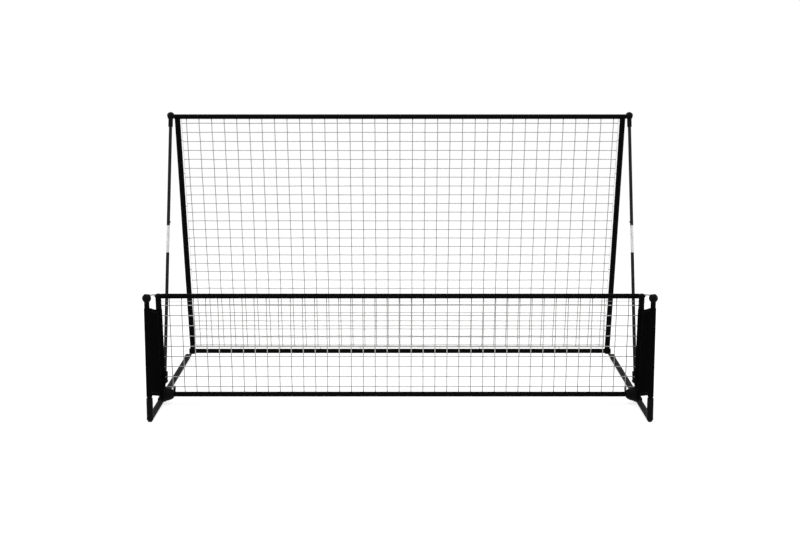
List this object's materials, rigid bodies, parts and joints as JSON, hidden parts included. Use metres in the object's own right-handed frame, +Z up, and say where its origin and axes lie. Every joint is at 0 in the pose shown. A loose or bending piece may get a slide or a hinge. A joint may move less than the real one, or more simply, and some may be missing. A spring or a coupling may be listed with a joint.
{
  "type": "pitch back rebounder",
  "caption": "Ball rebounder of black steel tube: a tall forward-leaning netted frame and a low netted front frame on ground rails, with telescopic struts and fabric side panels.",
  "frame": {"origin": "on the ground under the middle of the object's bounding box", "axes": "+Z up, +X to the right as seen from the low front frame, +Y from the low front frame towards the tall rear frame's foot"},
  "size_m": [1.866, 1.0245, 1.0884],
  "materials": {
    "black_steel": "satin black powder coat",
    "galvanised": "bright galvanised tube and wire",
    "black_plastic": "moulded black plastic",
    "black_zinc": "black zinc plated fasteners",
    "nylon": "black nylon",
    "net_cord": "white knotless cord",
    "panel_fabric": "black woven polyester"
  },
  "bodies": {
    "base": {"rail_left": "black_steel", "rail_right": "black_steel", "rail_end_plugs": "black_plastic", "foot_elbow_left": "black_plastic", "foot_elbow_right": "black_plastic", "post_left": "black_steel", "post_right": "black_steel", "post_ball_left": "black_plastic", "post_ball_right": "black_plastic", "stay_pins": "black_zinc", "hub_left": "black_plastic", "hub_right": "black_plastic", "hub_screws": "black_zinc", "front_top_bar": "black_steel", "front_bottom_bar": "black_steel", "front_side_tube_left": "black_steel", "front_side_tube_right": "black_steel", "front_corner_plugs": "black_plastic", "front_bar_inserts": "black_zinc", "front_corner_bolts": "black_zinc", "front_net": "net_cord", "side_panel_left": "panel_fabric", "side_panel_right": "panel_fabric", "rear_bracket_left": "black_steel", "rear_bracket_right": "black_steel", "bracket_screws": "black_zinc", "strut_base_pins": "black_zinc"},
    "rear_frame": {"rear_top_bar": "black_steel", "rear_bottom_bar": "black_steel", "rear_side_tube_left": "black_steel", "rear_side_tube_right": "black_steel", "rear_tube_plugs": "black_plastic", "rear_top_inserts": "black_zinc", "rear_bottom_inserts": "black_zinc", "rear_net": "net_cord", "rear_net_pegs": "net_cord", "hinge_bolts": "black_zinc", "hinge_washers": "nylon", "strut_top_bolts": "black_zinc", "strut_top_washers": "nylon"},
    "strut_lower_left": {"strut_fork_left": "black_plastic", "strut_lower_tube_left": "black_steel", "strut_inner_tube_left": "galvanised", "strut_rivet_left": "black_zinc"},
    "strut_upper_left": {"strut_upper_tube_left": "black_steel", "strut_nut_left": "black_steel", "strut_ball_left": "black_plastic"},
    "thumbscrew_left": {"thumbscrew_left": "black_plastic"},
    "stay_left": {"stay_rod_left": "galvanised"},
    "strut_lower_right": {"strut_fork_right": "black_plastic", "strut_lower_tube_right": "black_steel", "strut_inner_tube_right": "galvanised", "strut_rivet_right": "black_zinc"},
    "strut_upper_right": {"strut_upper_tube_right": "black_steel", "strut_nut_right": "black_steel", "strut_ball_right": "black_plastic"},
    "thumbscrew_right": {"thumbscrew_right": "black_plastic"},
    "stay_right": {"stay_rod_right": "galvanised"}
  },
  "joints": [
    {"name": "rear_frame_tilt", "type": "hinge", "parent": "base", "child": "rear_frame", "pos_m": [0, 0.44125, 0.05], "axis": [1, 0, 0], "range_deg": [-3.3, 6.6]},
    {"name": "strut_left_turn", "type": "hinge", "parent": "base", "child": "strut_lower_left", "pos_m": [-0.9045, -0.21175, 0.082], "axis": [1, 0, 0], "range_deg": [-2.8, 5.5]},
    {"name": "strut_left_slide", "type": "slide", "parent": "strut_lower_left", "child": "strut_upper_left", "axis": [-0.0066, 0.3492, 0.937], "range_m": [-0.073, 0.037]},
    {"name": "thumbscrew_left_turn", "type": "hinge", "parent": "strut_upper_left", "child": "thumbscrew_left", "pos_m": [-0.90868, 0.00826, 0.67232], "axis": [0, 0.937, -0.3492], "range_deg": [0, 360]},
    {"name": "stay_left_lift", "type": "hinge", "parent": "base", "child": "stay_left", "pos_m": [-0.9145, -0.49575, 0.472], "axis": [1, 0, 0], "range_deg": [0, 90]},
    {"name": "strut_right_turn", "type": "hinge", "parent": "base", "child": "strut_lower_right", "pos_m": [0.9045, -0.21175, 0.082], "axis": [1, 0, 0], "range_deg": [-2.8, 5.5]},
    {"name": "strut_right_slide", "type": "slide", "parent": "strut_lower_right", "child": "strut_upper_right", "axis": [0.0066, 0.3492, 0.937], "range_m": [-0.073, 0.037]},
    {"name": "thumbscrew_right_turn", "type": "hinge", "parent": "strut_upper_right", "child": "thumbscrew_right", "pos_m": [0.90868, 0.00826, 0.67232], "axis": [0, 0.937, -0.3492], "range_deg": [0, 360]},
    {"name": "stay_right_lift", "type": "hinge", "parent": "base", "child": "stay_right", "pos_m": [0.9145, -0.49575, 0.472], "axis": [1, 0, 0], "range_deg": [0, 90]}
  ],
  "couplings": [
    {"joint": "strut_left_turn", "follows": "rear_frame_tilt", "ratio": 0.8234},
    {"joint": "strut_left_slide", "follows": "rear_frame_tilt", "m_per_rad": -0.6269},
    {"joint": "strut_right_turn", "follows": "rear_frame_tilt", "ratio": 0.8234},
    {"joint": "strut_right_slide", "follows": "rear_frame_tilt", "m_per_rad": -0.6269}
  ]
}
